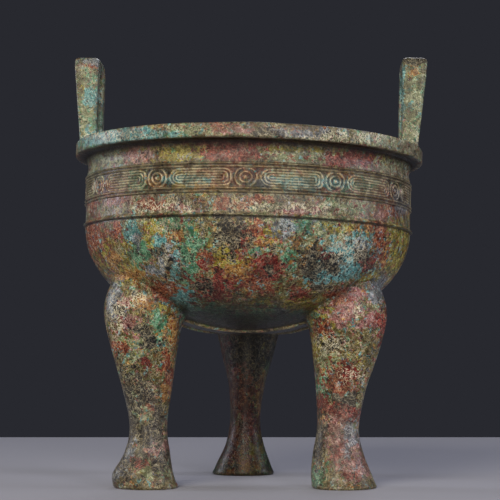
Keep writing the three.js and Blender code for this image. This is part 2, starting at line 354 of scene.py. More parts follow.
# %% Legs
LEG_SECTIONS = np.array([
    # height, half width along the radius, half width across it, reach from the axis
    [0, 19.4, 20.2, 0],
    [8, 18.7, 17.1, 64.6],
    [20, 15.1, 12.9, 62.4],
    [35, 12.7, 10.4, 62.2],
    [57, 16.3, 12.0, 63.5],
    [79, 21.0, 17.6, 65.9],
    [99, 24.6, 21.8, 66.6],
    [113, 22.3, 20.7, 65.7],
    [121, 17.3, 16.1, 64.7],
])
LEGS = [
    # bearing from +X, reach and sideways place of the sole, girth of the ankle
    (-150, 62.4, 0, 0.94),
    (-30, 66.9, 0, 1.05),
    (88.7, 65.0, 1.2, 0.95),
]
LEG_COLUMNS, LEG_ROWS = 52, 66
LEG_INNER_FLATNESS = 0.9
SOLE_ROUND, SOLE_TUCK = 1.6, 0.7
FILLET = 2.0
TINY = 1e-6


def smooth_through(values, share):
    """A curve through evenly spaced values, by the Catmull-Rom formula, at shares from 0 to 1."""
    place = np.clip(share, 0, 1) * (len(values) - 1)
    i = np.clip(np.floor(place).astype(int), 0, len(values) - 2)
    t = (place - i)[:, None]
    padded = np.concatenate([[2 * values[0] - values[1]], values, [2 * values[-1] - values[-2]]])
    a, b, c, d = (padded[i + k] for k in range(4))
    return 0.5 * (2 * b + (c - a) * t + (2 * a - 5 * b + 4 * c - d) * t**2 + (3 * b - a - 3 * c + d) * t**3)


def turned(x, y, turn):
    """Points on the plan, carried round the axis by a turn: the usual sums of cosines and sines."""
    c, s = math.cos(turn), math.sin(turn)
    return np.stack([x * c - y * s, x * s + y * c], axis=1)


def above_bowl_skin(points):
    """Rough distance from the bowl's outside, more than 0 outside it: the ellipse's value over its slope."""
    radius = np.hypot(points[:, 0], points[:, 1])
    drop = np.clip(SHOULDER - points[:, 2], 0, None)
    size = np.hypot(radius / BOWL_RADIUS, drop / BOWL_DEPTH)
    slope = np.hypot(radius / BOWL_RADIUS**2, drop / BOWL_DEPTH**2) / np.maximum(size, TINY)
    return (size - 1) / np.maximum(slope, TINY)


def leg_stations(sole_reach, sole_aside, ankle_girth):
    """The sections of one leg, with its own sole and ankle: height, along, across, reach, aside."""
    stations = np.column_stack([LEG_SECTIONS, np.zeros(len(LEG_SECTIONS))])
    stations[0, 3] = sole_reach
    stations[2:4, 1:3] *= ankle_girth
    stations[:4, 4] = np.array([1, 1, 0.5, 0.5]) * sole_aside
    return stations


def leg_points(share, angle, stations, bearing):
    """Points of a leg's skin, an oval at each share of the way up, with the angle counted from outside."""
    height, along, across, reach, aside = smooth_through(stations, share).T
    out = np.cos(angle) * along * np.where(np.cos(angle) < 0, LEG_INNER_FLATNESS, 1)
    side = np.sin(angle) * across
    turn = math.radians(bearing)
    return np.column_stack([turned(reach + out, aside + side, turn), height])


def leg_shell(bearing, sole_reach, sole_aside, ankle_girth):
    """One closed leg; its sole is flat with a rounded edge and its top ends inside the wall of the bowl."""
    stations = leg_stations(sole_reach, sole_aside, ankle_girth)
    angle = even_turns(LEG_COLUMNS) * 2 * math.pi
    rings = []
    for share in np.linspace(0, 1, LEG_ROWS):
        ring = leg_points(np.full(LEG_COLUMNS, share), angle, stations, bearing)
        outward = ring - ring.mean(axis=0)
        outward = outward / np.linalg.norm(outward, axis=1, keepdims=True)
        near_sole = np.clip(1 - ring[:, 2] / SOLE_ROUND, 0, 1)
        tuck = SOLE_ROUND * (1 - np.sqrt(1 - near_sole**2)) * SOLE_TUCK
        flare = FILLET * np.exp(-np.clip(above_bowl_skin(ring), 0, None) / FILLET)
        rings.append(ring + outward * (np.minimum(flare, FILLET) - tuck)[:, None])
    return closed_shell(rings, [even_turns(LEG_COLUMNS)] * LEG_ROWS)


legs = [new_piece(f"leg_{k + 1}", *leg_shell(*leg)) for k, leg in enumerate(LEGS)]
print("legs:", [len(leg.data.polygons) for leg in legs])

# %% [markdown]
# The ears are loops of bar that stand on the lip. The bar's section is a rounded rectangle carried up one
# limb, over the top and down the other, between the arched hole and the outer outline. The inner face is
# upright over the mouth and the outer face leans out, so the bar is thicker at the top.

# %% Ears
EARS = [
    # side of the axis and height of the top
    (-1, 252.8), (1, 255.5),
]
EAR_TURN = math.radians(-1.9)
EAR_INNER_FACE = 90.4
EAR_THICK_FOOT, EAR_THICK_TOP = 10.4, 16.0
EAR_HALF, EAR_LIMB, EAR_BAND = 17.0, 9.6, 10.8
EAR_ROOT = 193.5
EAR_OUTLINE_POWER, EAR_SECTION_POWER = 6.0, 5.0
EAR_COLUMNS, EAR_LIMB_ROWS, EAR_ARCH_ROWS = 28, 24, 36
EAR_FLARE, EAR_FLARE_FADE, EAR_FLARE_BELOW = 1.1, 1.2, 2


def signed_power(value, power):
    """The value's size raised to a power, with its sign kept."""
    return np.sign(value) * np.abs(value) ** power


def ear_shell(side, top):
    """A closed loop of bar; each row runs round the section between the hole's edge and the outer edge.

    Outline and section are superellipses: sines and cosines raised to a power, which squares them up.
    """
    hole = EAR_HALF - EAR_LIMB
    centre = top - EAR_BAND - hole
    angle = np.linspace(math.pi, 0, EAR_ARCH_ROWS)
    c, s = np.cos(angle), np.sin(angle)
    reach = np.abs(c / EAR_HALF) ** EAR_OUTLINE_POWER + np.abs(s / (top - centre)) ** EAR_OUTLINE_POWER
    reach = reach ** (-1 / EAR_OUTLINE_POWER)
    rise = np.linspace(EAR_ROOT, centre, EAR_LIMB_ROWS, endpoint=False)
    limb = np.ones_like(rise)
    inner, outer = (
        np.stack([np.concatenate([-half * limb, arch * c, half * limb]),
                  np.concatenate([rise, centre + arch * s, rise[::-1]])], axis=1)
        for half, arch in ((hole, hole), (EAR_HALF, reach))
    )
    turn = even_turns(EAR_COLUMNS) * 2 * math.pi
    across = 0.5 + 0.5 * signed_power(np.cos(turn), 2 / EAR_SECTION_POWER)
    through = 0.5 + 0.5 * signed_power(np.sin(turn), 2 / EAR_SECTION_POWER)
    rings = []
    for near, far in zip(inner, outer):
        edge = near + (far - near) * across[:, None]
        risen = np.clip((edge[:, 1] - LIP_TOP) / (top - LIP_TOP), 0, 1)
        thickness = EAR_THICK_FOOT + (EAR_THICK_TOP - EAR_THICK_FOOT) * risen
        ring = np.stack([EAR_INNER_FACE + through * thickness, edge[:, 0], edge[:, 1]], axis=1)
        outward = ring - ring.mean(axis=0)
        outward[:, 2] = 0
        outward = outward / np.maximum(np.linalg.norm(outward, axis=1, keepdims=True), TINY)
        above = ring[:, 2] - LIP_TOP
        flare = EAR_FLARE * np.exp(-np.clip(above, 0, None) / EAR_FLARE_FADE)
        rings.append(ring + outward * (flare * (above > -EAR_FLARE_BELOW))[:, None])
    points, faces = closed_shell(rings, [even_turns(EAR_COLUMNS)] * len(rings))
    spin = EAR_TURN + (0 if side > 0 else math.pi)
    points[:, :2] = turned(points[:, 0], points[:, 1], spin)
    return points, faces


ears = [new_piece(f"ear_{k + 1}", *ear_shell(*ear)) for k, ear in enumerate(EARS)]
print("ears:", [len(ear.data.polygons) for ear in ears])

# %% [markdown]
# Where the pieces of the mould met, metal crept into the joints and was left as thin seams under the bowl,
# from leg to leg. Each is a small rounded bar that follows the underside.

# %% Mould seams
SEAM_MIDDLE, SEAM_END, SEAM_HALF_SPAN = 24.0, 34.0, 42.0
SEAM_HALF_WIDTH, SEAM_OUT = 1.2, 1.4


def seam_shell(turn, rows=48, columns=10):
    """A bar of oval section along the underside; between two legs it bows to the axis as a square does."""
    rings = []
    angle = even_turns(columns) * 2 * math.pi
    for x in np.linspace(-SEAM_HALF_SPAN, SEAM_HALF_SPAN, rows):
        share = x / SEAM_HALF_SPAN
        y = -(SEAM_MIDDLE + (SEAM_END - SEAM_MIDDLE) * share**2) + SEAM_HALF_WIDTH * np.cos(angle)
        radius = np.hypot(x, y)
        under = SHOULDER - BOWL_DEPTH * np.sqrt(1 - (radius / BOWL_RADIUS) ** 2)
        z = under + SEAM_OUT * np.sin(angle)
        rings.append(np.column_stack([turned(x, y, turn), z]))
    return closed_shell(rings, [even_turns(columns)] * rows)


seams = [new_piece(f"seam_{k + 1}", *seam_shell(k * 2 * math.pi / 3)) for k in range(3)]
print("seams:", [len(seam.data.polygons) for seam in seams])

# %% [markdown]
# Now the parts become one casting, in the order in which a founder would think of it: the full bowl with its
# legs and seams, then the hollow, then the ears. The Boolean modifier's manifold solver joins closed skins
# quickly and leaves one closed skin.

# %% One casting
def solid_from(piece):
    """Turns the faces of a closed piece outwards."""
    shape = bmesh.new()
    shape.from_mesh(piece.data)
    bmesh.ops.recalc_face_normals(shape, faces=shape.faces)
    shape.to_mesh(piece.data)
    shape.free()


def combine(base, tools, operation):
    """Joins or cuts closed pieces, and removes the tools."""
    for tool in tools:
        change = base.modifiers.new(operation.lower(), "BOOLEAN")
        change.operation, change.solver, change.object = operation, "MANIFOLD", tool
    result = bpy.data.meshes.new_from_object(base.evaluated_get(bpy.context.evaluated_depsgraph_get()))
    base.modifiers.clear()
    base.data = result
    for tool in tools:
        bpy.data.objects.remove(tool)
    print(operation.lower(), "->", len(result.polygons), "faces")


for piece in [outside, hollow, *legs, *ears, *seams]:
    solid_from(piece)
combine(outside, [*legs, *seams], "UNION")
combine(outside, [hollow], "DIFFERENCE")
combine(outside, ears, "UNION")
casting = outside
casting.name = "vessel_casting"
casting.data.name = "vessel_casting"

# %% [markdown]
# Booleans leave a hard corner where two skins meet. On the real vessel the wax was smoothed into these
# corners, so the points near one are moved towards the mean of their neighbours. How near a point is to a
# corner comes from its rough distances to the skins that meet there. The same number darkens the corner
# later, as painted shade in the crease.

# %% Corners between the parts
CORNER_WIDTH = 1.6
EAR_SOFTENING = 0.8
SOFTEN_GAIN, SOFTEN_LESS, SOFTEN_MOST, SOFTEN_ROUNDS = 1.6, 0.3, 0.8, 4


def read_rows(items, field, width, kind=np.float32):
    """One field of all the points or edges of a mesh, with a row for each."""
    rows = np.empty(len(items) * width, dtype=kind)
    items.foreach_get(field, rows)
    return rows.reshape(-1, width)


def neighbour_mean(values, edges):
    """Mean of each point's neighbours along the edges."""
    total = np.zeros_like(values)
    np.add.at(total, edges[:, 0], values[edges[:, 1]])
    np.add.at(total, edges[:, 1], values[edges[:, 0]])
    count = np.bincount(edges.ravel(), minlength=len(values)).astype(float)
    return total / (count if values.ndim == 1 else count[:, None])


def near_leg_skin(points, leg):
    """Rough distance from a leg's skin, more than 0 outside it: the oval's value times its half width."""
    bearing, *shape = leg
    curve = smooth_through(leg_stations(*shape), np.linspace(0, 1, 60))
    along, across, reach, aside = (np.interp(points[:, 2], curve[:, 0], curve[:, k]) for k in (1, 2, 3, 4))
    out, side = turned(points[:, 0], points[:, 1], -math.radians(bearing)).T
    size = np.hypot((out - reach) / along, (side - aside) / across)
    return (size - 1) * np.minimum(along, across)


def near_ear_skin(points):
    """Distance on the plan from the foot of the nearest limb of an ear, taken as a rectangle."""
    along, aside = turned(points[:, 0], points[:, 1], -EAR_TURN).T
    middle = EAR_INNER_FACE + EAR_THICK_FOOT / 2
    limb = EAR_HALF - EAR_LIMB / 2
    dx = np.abs(np.abs(along) - middle) - EAR_THICK_FOOT / 2
    dy = np.abs(np.abs(aside) - limb) - EAR_LIMB / 2
    return np.hypot(np.clip(dx, 0, None), np.clip(dy, 0, None)) + np.clip(np.maximum(dx, dy), None, 0)


points = read_rows(casting.data.vertices, "co", 3).astype(float)
edges = read_rows(casting.data.edges, "vertices", 2, np.int32)
bowl_skin = above_bowl_skin(points)
leg_skin = np.min([np.abs(near_leg_skin(points, leg)) for leg in LEGS], axis=0)
corner = np.exp(-(np.abs(bowl_skin) + leg_skin) / CORNER_WIDTH) * (points[:, 2] < SHOULDER)
ear_corner = np.exp(-(np.abs(near_ear_skin(points)) + np.abs(points[:, 2] - LIP_TOP)) / CORNER_WIDTH)
soften = np.maximum(corner, ear_corner * EAR_SOFTENING) * SOFTEN_GAIN - SOFTEN_LESS
soften = np.clip(soften, 0, SOFTEN_MOST)
for _ in range(SOFTEN_ROUNDS):
    points = points + soften[:, None] * (neighbour_mean(points, edges) - points)
print("points softened in corners:", int((soften > 0.1).sum()))

# %% [markdown]
# The casting has slow swells from the hand-made wax and shallow dents from its long life. They only ever go
# inwards, so the piece never grows past its real size, and they fade out at the flat soles.

# %% Swells and dents
SWELLS = [
    # size across and most depth in mm, and seed
    (26, 0.35, 1), (9, 0.22, 2), (3.2, 0.10, 3),
]
SOLE_FADE = 4


def point_normals(mesh, points):
    """Unit normals at the points, after the points have been put back into the mesh."""
    mesh.vertices.foreach_set("co", points.astype(np.float32).ravel())
    mesh.update()
    return read_rows(mesh.vertices, "normal", 3).astype(float)


normals = point_normals(casting.data, points)
swell = sum(deep * (1 + lumps(points, size, seed)) / 2 for size, deep, seed in SWELLS)
points = points - normals * (swell * smooth_step(0, SOLE_FADE, points[:, 2]))[:, None]
print("deepest swell in mm:", round(float(swell.max()), 2))

# %% [markdown]
# The bowl of the real vessel isn't quite level: it leans a little to the right over level soles, as thick wax
# sags. A shear that grows with height over the legs and stays whole above them keeps the soles flat. The
# frame has the same lean, so the looks cover the solid.

# %% Lean and place
LEAN = math.radians(1.22)
LEAN_FULL_HEIGHT = 120.0
CENTRE_SHIFT = -5.388


def lean(points):
    """Leans the bowl and ears to +X over level soles, then centres the vessel's box, in millimetres."""
    slope = math.tan(LEAN)
    share = np.clip(points[:, 2] / LEAN_FULL_HEIGHT, 0, 1)
    x = points[:, 0] + slope * points[:, 2] + CENTRE_SHIFT
    return np.stack([x, points[:, 1], points[:, 2] - slope * points[:, 0] * share], axis=1)


upright = points
placed = lean(upright) * MM
normals = point_normals(casting.data, placed)
casting.data.shade_smooth()
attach(casting, "root")
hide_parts("ding_vessel")
print("casting box in mm", placed.min(axis=0) / MM, placed.max(axis=0) / MM)

# %% [markdown]
# Bronze left in the ground, or treated to look so, takes a patina of many colours that lie over each other in
# patches: green and blue copper salts, red and orange oxides, soot, and pale lime in the pores. Each colour
# gets a number at every point of the mesh that says how likely it is there. A slow noise gives all sides
# their share of each, and listed marks add the patches that the photograph shows, by the place and half
# size of each patch in its pixels.

# %% Patches seen from the front
PHOTO_SIZE = 500
CAMERA_PLACE = (-0.00071, -0.8541, 0.0724)
CAMERA_PITCH = 0.0774
LENS, SENSOR = 102.5, 36.0
MARK_FALL = 0.7
WANDERS = [
    # most shift in pixels, and size in mm and seed of the lumps that give the patches ragged outlines
    (3.0, 7, 11), (1.5, 3, 12),
]
# A few of these marks are painted highlights and painted shade rather than patina, as noted at their colours.
MARKS = {
    # across, down, half width and half height of each patch, in pixels
    "sage": [(185, 131, 26, 6), (352, 139, 40, 7), (105, 158, 20, 6), (296, 155, 32, 7), (397, 160, 14, 8),
     (92, 185, 12, 20), (300, 182, 60, 6), (265, 206, 16, 4), (345, 207, 22, 4), (275, 222, 15, 7),
     (168, 229, 12, 7), (330, 362, 13, 9), (155, 466, 16, 11), (140, 408, 9, 16), (88, 115, 12, 16),
     (415, 105, 9, 30), (135, 350, 12, 10), (380, 143, 26, 6), (240, 150, 6, 6), (290, 158, 26, 6),
     (315, 230, 22, 12), (265, 222, 16, 8), (290, 246, 12, 7), (140, 225, 16, 6)],
    "olive": [(175, 155, 26, 7), (185, 182, 22, 6), (103, 256, 6, 18), (125, 268, 11, 12),
     (222, 262, 15, 8), (268, 234, 13, 9), (345, 227, 18, 4), (400, 247, 10, 26), (370, 276, 13, 4),
     (320, 321, 11, 7), (317, 344, 8, 10), (165, 309, 8, 6), (330, 312, 12, 4), (245, 262, 8, 8),
     (150, 232, 8, 12), (262, 300, 12, 5), (235, 322, 30, 3), (265, 400, 9, 44), (256, 455, 22, 16),
     (130, 150, 16, 4), (200, 147, 26, 3), (300, 148, 34, 3), (375, 155, 22, 4), (396, 250, 13, 28),
     (230, 250, 12, 8), (300, 305, 16, 8), (130, 240, 6, 10)],
    "jade": [(192, 243, 14, 10), (188, 264, 8, 18), (262, 252, 9, 4), (290, 258, 6, 9), (200, 314, 30, 8),
     (262, 315, 34, 6), (160, 328, 6, 15), (320, 385, 7, 9), (317, 476, 8, 10), (98, 125, 8, 8),
     (142, 252, 9, 10), (178, 225, 14, 6), (300, 225, 10, 6), (140, 182, 12, 7), (350, 187, 14, 6),
     (268, 375, 6, 14), (270, 460, 6, 10), (88, 145, 9, 6), (160, 135, 20, 4)],
    "turquoise": [(120, 134, 40, 7), (131, 231, 5, 12), (175, 263, 3, 17), (348, 255, 22, 19),
     (345, 273, 18, 8), (318, 276, 9, 8), (186, 300, 10, 9), (93, 98, 9, 7), (401, 90, 3, 32),
     (160, 244, 5, 8), (185, 180, 20, 5), (310, 184, 34, 5), (100, 138, 22, 6), (140, 131, 30, 5)],
    # steel: the marks at (114, 302) and (377, 290) on the legs' edges and at (350, 430) and (352, 432) on the
    # right leg are painted highlights, and the one at (115, 462) paints the blue-grey shade at the left
    # foot's edge
    "steel": [(305, 133, 30, 4), (138, 238, 3, 7), (152, 270, 6, 5), (336, 262, 6, 6), (281, 311, 8, 4),
     (114, 302, 6, 18), (377, 290, 7, 11), (350, 430, 5, 20), (126, 452, 8, 18), (92, 62, 14, 4),
     (165, 262, 5, 12), (362, 247, 8, 6), (265, 184, 10, 5), (400, 203, 7, 10), (284, 226, 10, 10),
     (352, 432, 5, 18), (115, 462, 8, 16)],
    "orange": [(172, 236, 11, 4), (113, 262, 6, 11), (236, 273, 14, 9), (268, 244, 18, 3),
     (249, 276, 5, 14), (303, 262, 6, 10), (383, 256, 5, 12), (173, 326, 5, 19), (166, 392, 7, 8),
     (320, 415, 6, 13), (130, 276, 15, 4), (145, 303, 8, 6), (360, 228, 12, 4), (412, 72, 6, 9),
     (150, 182, 10, 5), (210, 187, 20, 3), (262, 395, 5, 22), (165, 180, 8, 6), (256, 177, 8, 6),
     (345, 176, 10, 4), (246, 465, 14, 6)],
    "rust": [(95, 238, 10, 16), (117, 231, 7, 6), (206, 258, 8, 7), (255, 232, 7, 9), (262, 284, 15, 9),
     (380, 240, 7, 17), (165, 292, 15, 9), (169, 370, 5, 14), (120, 347, 9, 5), (322, 329, 8, 7),
     (340, 378, 14, 13), (149, 402, 4, 9), (88, 67, 12, 4), (338, 296, 13, 5), (222, 128, 14, 3),
     (225, 207, 16, 3), (118, 200, 12, 4), (238, 172, 26, 5), (395, 205, 8, 4), (240, 385, 12, 26),
     (234, 440, 14, 18), (105, 187, 8, 7), (222, 180, 14, 6), (385, 195, 10, 8), (205, 143, 20, 3),
     (88, 204, 9, 6), (150, 205, 14, 4), (225, 204, 16, 5), (252, 199, 18, 3), (395, 209, 9, 7)],
    "oxblood": [(233, 154, 28, 7), (352, 158, 27, 7), (270, 267, 13, 9), (214, 287, 18, 10),
     (205, 266, 7, 5), (300, 293, 9, 6), (324, 258, 5, 7), (368, 262, 6, 8), (384, 324, 4, 15),
     (340, 410, 20, 6), (338, 455, 5, 12), (140, 464, 11, 5), (240, 238, 7, 12), (146, 365, 5, 4),
     (352, 475, 8, 3), (232, 352, 11, 18), (250, 420, 8, 14), (255, 144, 22, 3), (230, 150, 22, 8),
     (345, 160, 22, 6), (350, 412, 14, 6), (322, 402, 6, 8), (352, 372, 8, 6)],
    "rose": [(138, 155, 14, 6), (352, 294, 13, 7), (345, 311, 14, 12), (372, 320, 9, 9), (130, 322, 10, 10),
     (124, 301, 5, 7), (158, 445, 9, 9), (335, 425, 16, 10), (356, 465, 15, 11), (243, 283, 6, 6),
     (180, 208, 18, 3), (300, 210, 20, 3), (385, 213, 12, 4), (330, 190, 12, 4), (110, 193, 10, 5),
     (240, 131, 18, 3), (343, 445, 18, 16), (160, 452, 10, 9)],
    # soot: the marks at (250, 350) and (276, 420) on the back leg and at (148, 436) and (160, 462) on the
    # left foot are painted shade
    "soot": [(230, 233, 15, 18), (276, 252, 3, 3), (268, 270, 5, 3), (312, 266, 12, 14), (362, 257, 8, 8),
     (320, 288, 11, 4), (160, 250, 5, 4), (170, 263, 3, 9), (181, 267, 2, 10), (137, 295, 2, 2),
     (144, 334, 8, 6), (128, 410, 10, 34), (415, 60, 14, 3), (335, 270, 6, 6), (276, 420, 8, 50),
     (158, 425, 6, 20), (318, 440, 6, 22), (348, 400, 12, 5), (250, 350, 24, 22), (368, 190, 2, 4),
     (264, 133, 12, 3), (203, 286, 10, 5), (336, 262, 8, 6), (122, 452, 10, 20), (145, 395, 8, 12),
     (120, 310, 6, 5), (150, 342, 8, 5), (330, 345, 10, 4), (148, 436, 10, 14), (160, 462, 8, 8)],
    # lime: the mark at (360, 312) is a painted highlight on the right leg, and the wide marks at (110, 134)
    # and (350, 138) lighten the lip's face, partly as painted light
    "lime": [(164, 262, 4, 11), (168, 226, 11, 5), (135, 300, 10, 6), (350, 374, 12, 7), (360, 312, 3, 9),
     (330, 345, 18, 10), (285, 207, 40, 5), (160, 207, 30, 5), (116, 318, 6, 20), (345, 250, 20, 12),
     (110, 134, 34, 5), (350, 138, 60, 5)],
}


def photo_pixels(points):
    """Where points in metres fall in the picture: their way across and up, over their depth, by the lens."""
    seen = points - np.array(CAMERA_PLACE)
    c, s = math.cos(CAMERA_PITCH), math.sin(CAMERA_PITCH)
    depth = seen[:, 1] * c + seen[:, 2] * s
    up = seen[:, 2] * c - seen[:, 1] * s
    scale = LENS / SENSOR * PHOTO_SIZE / depth
    return PHOTO_SIZE / 2 + seen[:, 0] * scale, PHOTO_SIZE / 2 - up * scale


def mark_strength(across, down, marks):
    """The strongest of some soft elliptical marks: 1 at a mark's middle and a half near its edge.

    A mark falls off as e to the power of minus MARK_FALL times the squared distance, in its own half sizes.
    """
    strength = np.zeros(len(across))
    for x, y, half_width, half_height in marks:
        distance = ((across - x) / half_width) ** 2 + ((down - y) / half_height) ** 2
        strength = np.maximum(strength, np.exp(-MARK_FALL * distance))
    return strength


across, down = photo_pixels(placed)
for shift, size, seed in WANDERS:
    across = across + shift * lumps(upright, size, seed)
    down = down + shift * lumps(upright, size, seed + 2)

# %% [markdown]
# At the front the marks lead, and elsewhere the noise does. The ears get their own share, because they are
# mostly green, with little red or brown.

# %% How likely each colour is
FRONT_FROM, FRONT_FULL = -0.05, 0.3
MEAN_LEVEL = 0.4
SLOW_SWING, SLOW_SIZE, QUICK_SWING, QUICK_SIZE = 0.26, 19, 0.14, 8
LESS_NOISE_IN_FRONT, LESS_MARK_ON_NOISE = 0.65, 0.4
MORE_ON_EARS = {"sage": 0.3, "jade": 0.12, "rust": -0.22, "orange": -0.2, "oxblood": -0.25, "steel": -0.1}


def store(name, values):
    """Keeps one number at each point of the casting, for the finish to read."""
    kept = casting.data.attributes.new(name, "FLOAT", "POINT")
    kept.data.foreach_set("value", np.asarray(values, dtype=np.float32))


front = smooth_step(FRONT_FROM, FRONT_FULL, -normals[:, 1])
on_ears = smooth_step(LIP_TOP + 1, LIP_TOP + 5, upright[:, 2])
for seed, (name, marks) in enumerate(MARKS.items()):
    slow = SLOW_SWING * lumps(upright, SLOW_SIZE, 20 + seed)
    everywhere = MEAN_LEVEL + slow + QUICK_SWING * lumps(upright, QUICK_SIZE, 40 + seed)
    patches = front * mark_strength(across, down, marks)
    field = everywhere * (1 - LESS_NOISE_IN_FRONT * front) + patches * (1 - everywhere * LESS_MARK_ON_NOISE)
    field = field + MORE_ON_EARS.get(name, 0) * on_ears
    store(name, field)
    print(name, "covers about", round(float((field > 0.5).mean()) * 100), "percent of the points")

# %% [markdown]
# Dirt stays in the grooves of the frieze, and hands polish the crests and edges. How far a point stands out
# from its neighbours says which it is. The frieze's own formula gives the same for the fine lines. The recess
# number darkens the grooves as dirt and painted shade, the corners between the parts as painted shade, and
# narrow strips under the cord and under the lip as painted shadows.

# %% Recesses and edges
FRIEZE_LOW, FRIEZE_HIGH, SKIN = 161.6, 179.0, 1.5
GROOVE_LEVELS, CREST_LEVELS, EDGE_LEVELS = (0.1, 0.45), (0.55, 0.9), (0.08, 0.3)
CORD_SHADE_DROP, CORD_SHADE_HALF = 0.3, 0.6
LIP_SHADE_DROP, LIP_SHADE_HALF, LIP_SHADE_REACH = 0.8, 3.4, 101
GROOVE_DIRT_AND_SHADE, CORNER_SHADE, EAR_CORNER_SHADE = 0.72, 0.9, 0.8


def bell(away, half):
    """1 at no distance and 0 far off: e to the power of minus the square of the share of the half width."""
    return np.exp(-(away / half) ** 2)


radius = np.hypot(upright[:, 0], upright[:, 1])
bearing = np.arctan2(upright[:, 0], -upright[:, 1])
height = upright[:, 2]
near_wall = radius > BOWL_RADIUS - SKIN
on_wall = near_wall & (height > FRIEZE_LOW) & (height < FRIEZE_HIGH)
strings = sum(ridge(height, FRIEZE_MIDDLE + row * ROW, STRING_HALF, 1) for row in STRING_ROWS)
carved = np.maximum(frieze_relief(bearing, height), strings)
groove = on_wall * (1 - smooth_step(*GROOVE_LEVELS, carved))
crest = on_wall * smooth_step(*CREST_LEVELS, carved)
spacing = np.linalg.norm(placed[edges[:, 0]] - placed[edges[:, 1]], axis=1) / MM
edge_count = np.bincount(edges.ravel(), minlength=len(placed))
spread = np.bincount(edges.ravel(), np.repeat(spacing, 2), len(placed)) / edge_count
stands_out = ((placed - neighbour_mean(placed, edges)) * normals).sum(axis=1) / MM / spread**2
for _ in range(2):
    stands_out = 0.5 * stands_out + 0.5 * neighbour_mean(stands_out, edges)
edge = smooth_step(*EDGE_LEVELS, stands_out) * (1 - on_wall) * (height > SHOULDER)
# painted shadows: a narrow strip under the cord, and a wider one under the lip
under_cord = bell(height - SHOULDER + CORD_SHADE_DROP, CORD_SHADE_HALF) * near_wall
near_lip = (radius > MOUTH_RADIUS) * (radius < LIP_SHADE_REACH)
under_lip = bell(height - LIP_FOOT + LIP_SHADE_DROP, LIP_SHADE_HALF) * near_lip
# the grooves darken as dirt and painted shade, the corners between the parts as painted shade
dirt_and_shade = [GROOVE_DIRT_AND_SHADE * groove, CORNER_SHADE * corner, EAR_CORNER_SHADE * ear_corner, under_cord, under_lip]
recess = np.maximum.reduce(dirt_and_shade)
print("points in recesses:", int((recess > 0.5).sum()), "on crests:", int((crest + edge > 0.5).sum()))

# %% [markdown]
# The seams under the bowl are painted paler, partly as wear where fingers and cloths rub them and partly as a
# painted highlight where they catch the light. The underside and the back leg are the other way round: they
# are darkened as painted shade. Dust films the wall and the front feet; the back leg is left without it, so
# it stays dark.

# %% Seams, film and painted shade
SEAM_SHADE, SEAM_HIGHLIGHT_AND_RUB, SEAM_SKIN, SEAM_SHARE = 1.1, 0.45, 3, 0.98
FILM_ON_WALL, FILM_ON_FEET = 0.48, 0.55
FEET_FROM, FEET_FULL, FRONT_FEET = 75, 35, 30
UNDER_FROM, UNDER_FULL, UNDER_SKIN = 0.76, 0.96, 0.6
SHADE_ON_BACK_LEG, BACK_SHADE_FROM, BACK_SHADE_FULL, BACK_SHADE_TOP, BACK_SHADE_SKIN = 0.82, 20, 30, 120, 0.4

seam_line = np.zeros(len(placed))
for turn in (0, 2 * math.pi / 3, -2 * math.pi / 3):
    on_plan = turned(upright[:, 0], upright[:, 1], turn)
    share = on_plan[:, 0] / SEAM_HALF_SPAN
    away = on_plan[:, 1] + SEAM_MIDDLE + (SEAM_END - SEAM_MIDDLE) * share**2
    on_seam = (np.abs(share) < SEAM_SHARE) * (np.abs(bowl_skin) < SEAM_SKIN)
    seam_line = np.maximum(seam_line, bell(away, SEAM_SHADE) * on_seam)
upper = smooth_step(SHOULDER - 1, SHOULDER + 2, height)
feet = smooth_step(FEET_FROM, FEET_FULL, height) * (upright[:, 1] < FRONT_FEET)
# painted shade on the underside: the more the skin faces down, the darker
underside = smooth_step(UNDER_FROM, UNDER_FULL, -normals[:, 2])
underside = underside * (height < SHOULDER) * (bowl_skin < UNDER_SKIN)
# painted shade on the back leg, which stands behind the bowl
back_leg_shade = SHADE_ON_BACK_LEG * smooth_step(BACK_SHADE_FROM, BACK_SHADE_FULL, upright[:, 1])
back_leg_shade = back_leg_shade * (height < BACK_SHADE_TOP) * (bowl_skin > BACK_SHADE_SKIN)
store("recess", np.clip(recess, 0, 1) * (1 - seam_line))
store("upper", upper)
store("film", FILM_ON_WALL * upper + FILM_ON_FEET * feet)
# the seams get a pale wash, partly wear and partly a painted highlight, and are left out of the painted shade
store("crest", np.clip(crest + edge + SEAM_HIGHLIGHT_AND_RUB * seam_line, 0, 1))
store("underside", np.maximum(underside * (1 - seam_line), back_leg_shade))
print("points on seams:", int((seam_line > 0.5).sum()), "smoked:", int((back_leg_shade > 0.5).sum()))

# %% [markdown]
# Patina colours are easiest to name as sRGB hex values, as in a paint book. The shader works in linear light,
# so one function turns them.

# %% Colours
def linear(hex_colour):
    """An sRGB hex colour as linear red, green, blue and alpha, by the power of 2.4 of the standard."""
    parts = [int(hex_colour[i:i + 2], 16) / 255 for i in (1, 3, 5)]
    return [p / 12.92 if p <= 0.04045 else ((p + 0.055) / 1.055) ** 2.4 for p in parts] + [1.0]


# %% [markdown]
# The finish: cast bronze under a chemical patina that was waxed and rubbed. Salts and oxides aren't metal, so
# most of the surface has a soft, broken sheen and no metal shine. It could be one mottled colour, but the eye
# reads old bronze by its many thin coats, so each coat is laid over the last in the order in which it formed.
# One function adds a node, and everything else is a list of such nodes.

# %% Nodes of the patinated bronze
NOISE, MATH, MIX, RANGE = "ShaderNodeTexNoise", "ShaderNodeMath", "ShaderNodeMix", "ShaderNodeMapRange"
BELOW, ABOVE, MIXED = 6, 7, 2
bronze = bpy.data.materials.new("chemically_patinated_cast_bronze")
bronze.use_nodes = True
nodes, links = bronze.node_tree.nodes, bronze.node_tree.links
nodes.clear()


